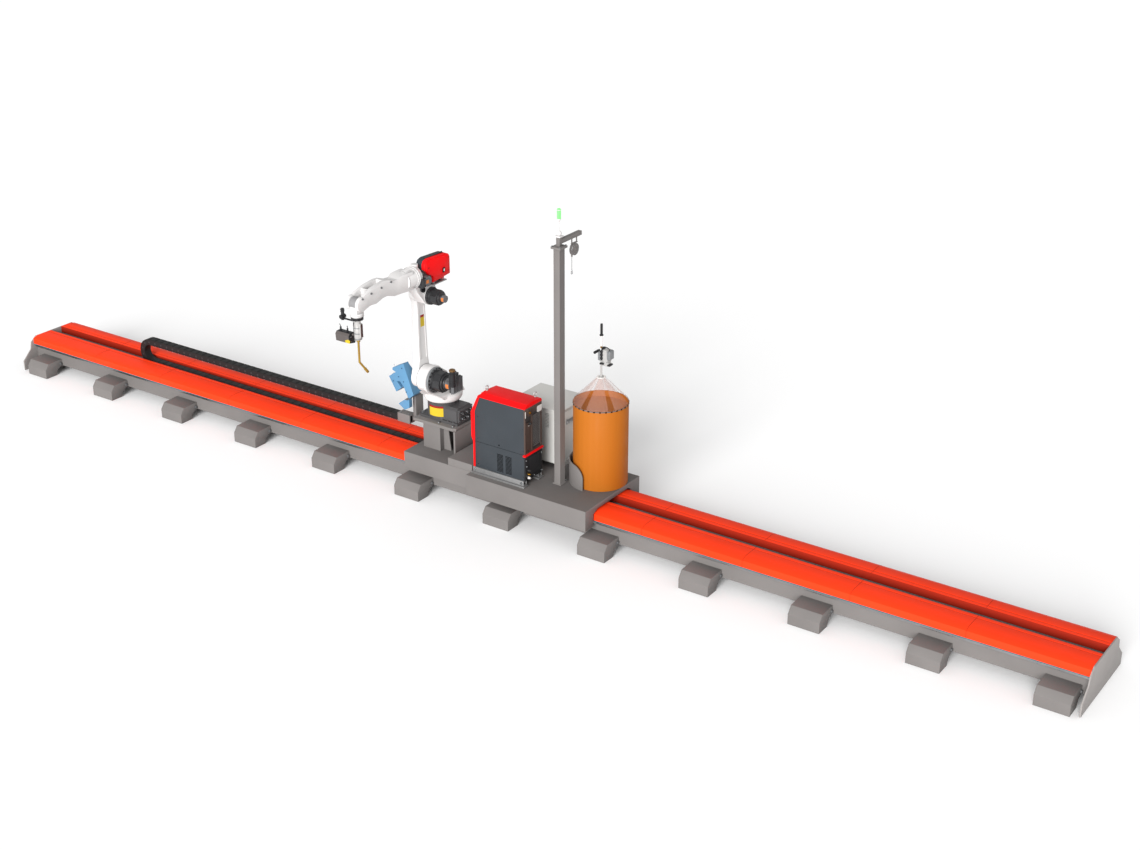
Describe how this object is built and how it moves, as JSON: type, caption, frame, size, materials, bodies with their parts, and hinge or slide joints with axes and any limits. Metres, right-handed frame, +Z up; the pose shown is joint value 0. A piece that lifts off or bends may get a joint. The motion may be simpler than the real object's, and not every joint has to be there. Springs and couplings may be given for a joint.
{
  "type": "rail-mounted welding robot station",
  "caption": "Long-reach arc welding robot travelling on a low floor rail, with its power source, controller, wire drum and signal mast on one carriage.",
  "frame": {"origin": "on the floor, midway along the rail and midway between its two beams", "axes": "+X along the rail towards the wire drum, -Y to the welding side, +Z up"},
  "size_m": [12.25, 1.838, 3.058],
  "materials": {
    "grey_paint": "satin powder coat",
    "hood_red": "gloss powder coat",
    "black_paint": "matt",
    "bare_steel": "ground",
    "black_plastic": "moulded",
    "cleaner_blue": "satin",
    "slate_paint": "fine texture",
    "machine_red": "gloss",
    "cabinet_paint": "fine texture",
    "wire_rope": "stranded",
    "lamp_plastic": "gloss",
    "drum_orange": "fibre drum, lacquered",
    "clear_plastic": "clear moulded plastic",
    "light_metal": "satin",
    "robot_grey": "satin",
    "robot_white": "gloss",
    "motor_black": "matt",
    "torch_metal": "satin"
  },
  "bodies": {
    "track": {"front_beam": "grey_paint", "rear_beam": "grey_paint", "front_feet": "grey_paint", "rear_feet": "grey_paint", "cross_ties": "grey_paint", "cable_tray": "black_paint", "front_hood": "hood_red", "rear_hood": "hood_red", "left_end_plate": "grey_paint", "right_end_plate": "grey_paint", "guide_rails": "bare_steel"},
    "carriage": {"carriage_frame": "grey_paint", "carriage_deck": "grey_paint", "riser_box": "grey_paint", "guide_blocks": "bare_steel", "pedestal": "grey_paint", "pedestal_plate": "grey_paint", "chain_bracket": "grey_paint", "cable_chain": "black_plastic", "cleaner_post": "grey_paint", "torch_cleaner": "cleaner_blue", "power_source_case": "slate_paint", "power_source_cover": "machine_red", "power_source_rear": "black_paint", "water_cooler": "black_paint", "power_source_skid": "bare_steel", "controller_cabinet": "cabinet_paint", "cabinet_handle": "black_plastic", "mast": "grey_paint", "jib_arm": "grey_paint", "balancer_reel": "grey_paint", "balancer_cord": "wire_rope", "balancer_hook": "bare_steel", "signal_lamp": "lamp_plastic", "wire_drum": "drum_orange", "drum_hood": "clear_plastic", "drum_cradle": "grey_paint", "booster_feeder": "light_metal", "robot_base": "robot_grey"},
    "turntable": {"turret": "robot_white", "shoulder_motor": "motor_black"},
    "upper_link": {"lower_arm": "robot_white"},
    "elbow": {"elbow_housing": "robot_white", "elbow_motors": "motor_black", "wire_feeder": "machine_red"},
    "forearm_link": {"forearm": "robot_white"},
    "wrist_link": {"wrist": "robot_white"},
    "tool": {"torch": "torch_metal", "seam_sensor": "slate_paint"}
  },
  "joints": [
    {"name": "carriage_travel", "type": "slide", "parent": "track", "child": "carriage", "axis": [1, 0, 0], "range_m": [-1.4, 4.4]},
    {"name": "base_turn", "type": "hinge", "parent": "carriage", "child": "turntable", "pos_m": [-0.42, 0, 0.905], "axis": [0, 0, 1], "range_deg": [-170, 170]},
    {"name": "shoulder", "type": "hinge", "parent": "turntable", "child": "upper_link", "pos_m": [-0.42, -0.18, 1.16], "axis": [1, 0, 0], "range_deg": [-40, 60]},
    {"name": "elbow_bend", "type": "hinge", "parent": "upper_link", "child": "elbow", "pos_m": [-0.42, -0.19, 2.005], "axis": [-1, 0, 0], "range_deg": [-50, 80]},
    {"name": "forearm_roll", "type": "hinge", "parent": "elbow", "child": "forearm_link", "pos_m": [-0.42, -0.4, 2.235], "axis": [0, -1, 0], "range_deg": [-150, 150]},
    {"name": "wrist_bend", "type": "hinge", "parent": "forearm_link", "child": "wrist_link", "pos_m": [-0.42, -1.16, 2.215], "axis": [-1, 0, 0], "range_deg": [-30, 100]},
    {"name": "torch_roll", "type": "hinge", "parent": "wrist_link", "child": "tool", "pos_m": [-0.42, -1.16, 2.0895], "axis": [0, 0, -1], "range_deg": [-180, 180]}
  ]
}
